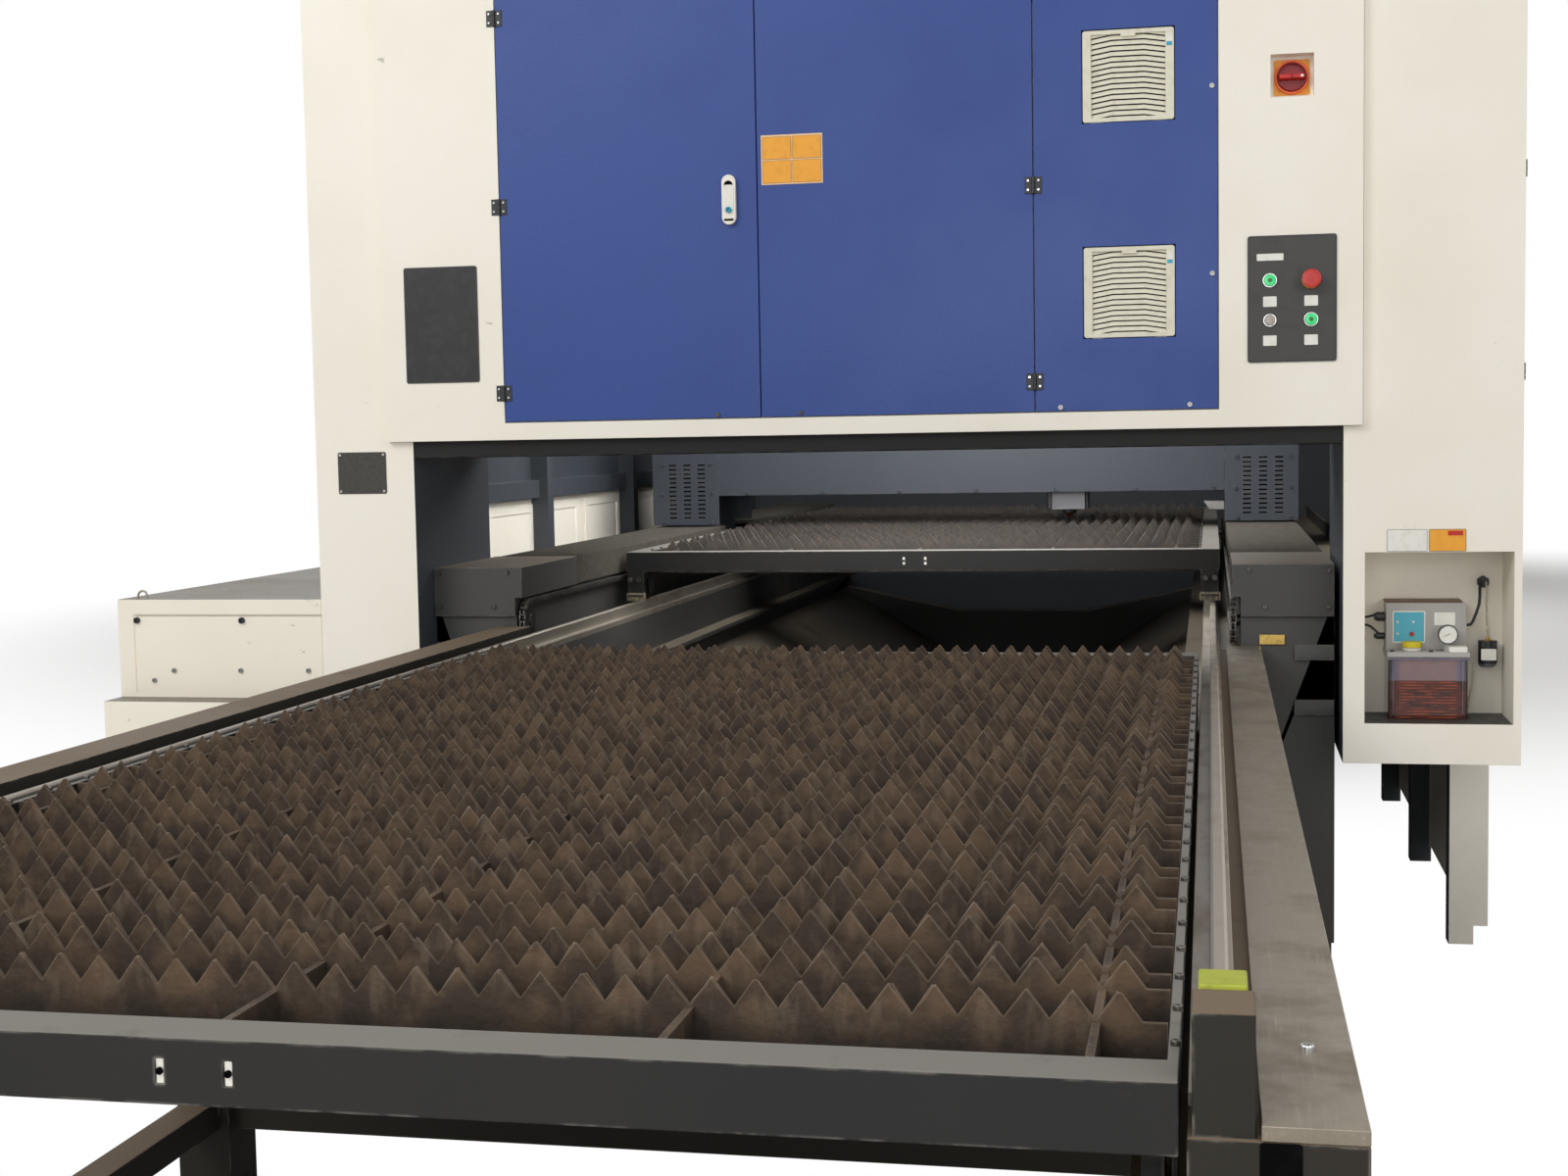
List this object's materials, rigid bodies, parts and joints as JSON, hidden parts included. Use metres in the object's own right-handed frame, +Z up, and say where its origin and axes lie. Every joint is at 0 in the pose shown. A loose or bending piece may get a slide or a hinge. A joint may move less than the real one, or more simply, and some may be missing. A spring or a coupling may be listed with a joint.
{
  "type": "fiber laser cutting machine",
  "caption": "Enclosed laser cutting machine with blue cabinet doors over its opening, a gantry with cutting head inside, and a pallet exchange platform with saw-tooth slats in front",
  "frame": {"origin": "centre of the bounding box, on the floor", "axes": "+Z up, +Y from the exchange platform into the enclosure, +X to the right when looking along +Y"},
  "size_m": [3.5849, 8.346, 2.6],
  "materials": {
    "white_paint": "cream-white powder coat, fine texture",
    "blue_paint": "deep blue textured powder coat",
    "grey_paint": "dark grey enamel, dusty",
    "slate_paint": "slate blue-grey enamel",
    "dark_steel": "oiled dark steel",
    "worn_plate": "worn bare plate",
    "bright_steel": "polished bare steel",
    "slat_steel": "scorched mild steel",
    "black_plastic": "black moulded plastic",
    "cream_plastic": "cream moulded plastic",
    "red_plastic": "red gloss plastic",
    "green_lens": "green lens, lit",
    "yellow_plastic": "yellow plastic",
    "bumper_rubber": "yellow-green polyurethane",
    "bellows_fabric": "coated black fabric, pleated",
    "oil_amber": "clear tank filled with amber oil",
    "pump_grey": "light grey enamel",
    "clear_hose": "translucent nylon line",
    "copper": "machined copper"
  },
  "bodies": {
    "machine": {"bed_frame": "grey_paint", "rail_cover_left": "grey_paint", "rail_cover_right": "grey_paint", "y_guide_left": "bright_steel", "y_guide_right": "bright_steel", "bellows_front_left": "bellows_fabric", "bellows_front_right": "bellows_fabric", "bellows_rear_left": "bellows_fabric", "bellows_rear_right": "bellows_fabric", "exchange_platform": "grey_paint", "platform_plate_left": "worn_plate", "platform_plate_right": "worn_plate", "pallet_rail_left": "bright_steel", "pallet_rail_right": "bright_steel", "bumper_left": "bumper_rubber", "bumper_right": "bumper_rubber", "drive_chain_left": "dark_steel", "drive_chain_right": "dark_steel", "left_column": "white_paint", "right_column": "white_paint", "cross_tube": "grey_paint", "portal_housing": "white_paint", "equipment_plate": "pump_grey", "fan_panel": "blue_paint", "vent_upper": "cream_plastic", "vent_lower": "cream_plastic", "side_wall_left": "white_paint", "side_wall_right": "white_paint", "rear_wall": "white_paint", "roof_panel": "white_paint", "low_cabinet": "white_paint", "button_panel": "black_plastic", "lubricator_tank": "oil_amber", "lubricator_pump": "pump_grey", "oil_filter": "black_plastic", "wall_gland": "black_plastic", "oil_hose": "clear_hose", "pump_cable": "black_plastic"},
    "left_door": {"left_door": "blue_paint"},
    "lock": {"lock_handle": "white_paint"},
    "centre_door": {"centre_door": "blue_paint"},
    "side_door": {"side_door": "white_paint"},
    "switch": {"switch_knob": "red_plastic"},
    "estop": {"estop_button": "red_plastic"},
    "exchange_key": {"exchange_button": "green_lens"},
    "pause_key": {"pause_button": "bright_steel"},
    "start_key": {"start_button": "green_lens"},
    "gantry": {"gantry_beam": "slate_paint", "gantry_cover": "slate_paint", "gantry_end_left": "slate_paint", "gantry_end_right": "slate_paint"},
    "carriage": {"carriage": "pump_grey"},
    "head": {"cutting_head": "pump_grey", "nozzle": "copper"},
    "upper_pallet": {"upper_pallet_frame": "grey_paint", "upper_pallet_slats": "slat_steel"},
    "lower_pallet": {"lower_pallet_frame": "grey_paint", "lower_pallet_slats": "slat_steel"},
    "drive_shaft": {"exchange_shaft": "dark_steel"},
    "filler_cap": {"filler_cap": "yellow_plastic"}
  },
  "joints": [
    {"name": "left_door_hinge", "type": "hinge", "parent": "machine", "child": "left_door", "pos_m": [-0.68215, -0.7516, 1.9545], "axis": [0, 0, -1], "range_deg": [0, 110]},
    {"name": "lock_turn", "type": "hinge", "parent": "left_door", "child": "lock", "pos_m": [-0.08565, -0.747, 1.9925], "axis": [0, 1, 0], "range_deg": [0, 90]},
    {"name": "centre_door_hinge", "type": "hinge", "parent": "machine", "child": "centre_door", "pos_m": [0.65985, -0.7516, 1.9545], "axis": [0, 0, 1], "range_deg": [0, 110]},
    {"name": "side_door_hinge", "type": "hinge", "parent": "machine", "child": "side_door", "pos_m": [1.78845, -0.687, 1.9545], "axis": [0, 0, -1], "range_deg": [0, 110]},
    {"name": "switch_turn", "type": "hinge", "parent": "machine", "child": "switch", "pos_m": [1.26185, -0.707, 2.18339], "axis": [0, 1, 0], "range_deg": [0, 90]},
    {"name": "estop_press", "type": "slide", "parent": "machine", "child": "estop", "axis": [0, 1, 0], "range_m": [0, 0.005]},
    {"name": "exchange_press", "type": "slide", "parent": "machine", "child": "exchange_key", "axis": [0, 1, 0], "range_m": [0, 0.004], "stiffness_N_per_m": 300, "springref_m": -0.003},
    {"name": "pause_press", "type": "slide", "parent": "machine", "child": "pause_key", "axis": [0, 1, 0], "range_m": [0, 0.004], "stiffness_N_per_m": 300, "springref_m": -0.003},
    {"name": "start_press", "type": "slide", "parent": "machine", "child": "start_key", "axis": [0, 1, 0], "range_m": [0, 0.004], "stiffness_N_per_m": 300, "springref_m": -0.003},
    {"name": "gantry_travel", "type": "slide", "parent": "machine", "child": "gantry", "axis": [0, 1, 0], "range_m": [-1.3, 1.6], "deforming": ["bellows_front_left", "bellows_front_right", "bellows_rear_left", "bellows_rear_right"]},
    {"name": "carriage_travel", "type": "slide", "parent": "gantry", "child": "carriage", "axis": [1, 0, 0], "range_m": [-1.1, 0.38]},
    {"name": "head_lift", "type": "slide", "parent": "carriage", "child": "head", "axis": [0, 0, 1], "range_m": [0, 0.1]},
    {"name": "upper_pallet_exchange", "type": "slide", "parent": "machine", "child": "upper_pallet", "axis": [0, -1, 0], "range_m": [0, 4.33]},
    {"name": "lower_pallet_exchange", "type": "slide", "parent": "machine", "child": "lower_pallet", "axis": [0, 1, 0], "range_m": [0, 4.33]},
    {"name": "exchange_shaft_turn", "type": "hinge", "parent": "machine", "child": "drive_shaft", "pos_m": [0.21485, 3.773, 0.893], "axis": [1, 0, 0], "range_deg": [0, 5520]},
    {"name": "filler_cap_turn", "type": "hinge", "parent": "machine", "child": "filler_cap", "pos_m": [1.54685, -0.6213, 0.84], "axis": [0, 0, 1], "range_deg": [0, 270]}
  ],
  "couplings": [
    {"joint": "lower_pallet_exchange", "follows": "upper_pallet_exchange", "ratio": 1},
    {"joint": "exchange_shaft_turn", "follows": "upper_pallet_exchange", "rad_per_m": 22.222}
  ]
}
